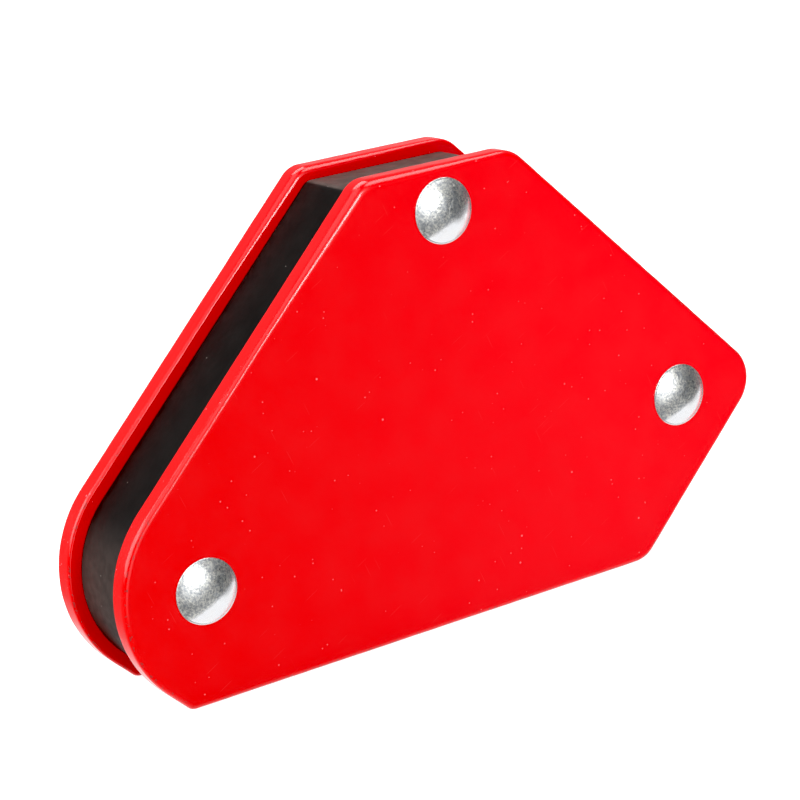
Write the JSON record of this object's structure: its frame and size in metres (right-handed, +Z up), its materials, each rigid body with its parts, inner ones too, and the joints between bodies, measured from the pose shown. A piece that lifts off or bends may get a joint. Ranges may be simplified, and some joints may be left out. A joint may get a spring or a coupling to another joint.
{
  "type": "welding magnet holder",
  "caption": "Small magnetic welding holder: painted steel plates with six sides set for 45, 90 and 135 degree joints, riveted over a moulded core with ferrite magnets.",
  "frame": {"origin": "middle of the holder's length and thickness, on the plane that its long bottom edge stands on", "axes": "+X along the length towards the sharper corner, +Y through the thickness towards the rear plate, +Z up"},
  "size_m": [0.0652, 0.0144, 0.04],
  "materials": {
    "red_paint": "gloss red enamel with small specks and rubbed edges",
    "black_plastic": "satin moulded black",
    "ferrite": "matte ground dark grey",
    "rivet_aluminium": "bright, pressed and slightly dimpled"
  },
  "bodies": {
    "root": {"front_plate": "red_paint", "rear_plate": "red_paint", "spacer_core": "black_plastic", "left_ferrite_block": "ferrite", "middle_ferrite_block": "ferrite", "right_ferrite_block": "ferrite", "top_rivet": "rivet_aluminium", "left_rivet": "rivet_aluminium", "right_rivet": "rivet_aluminium"}
  },
  "joints": []
}
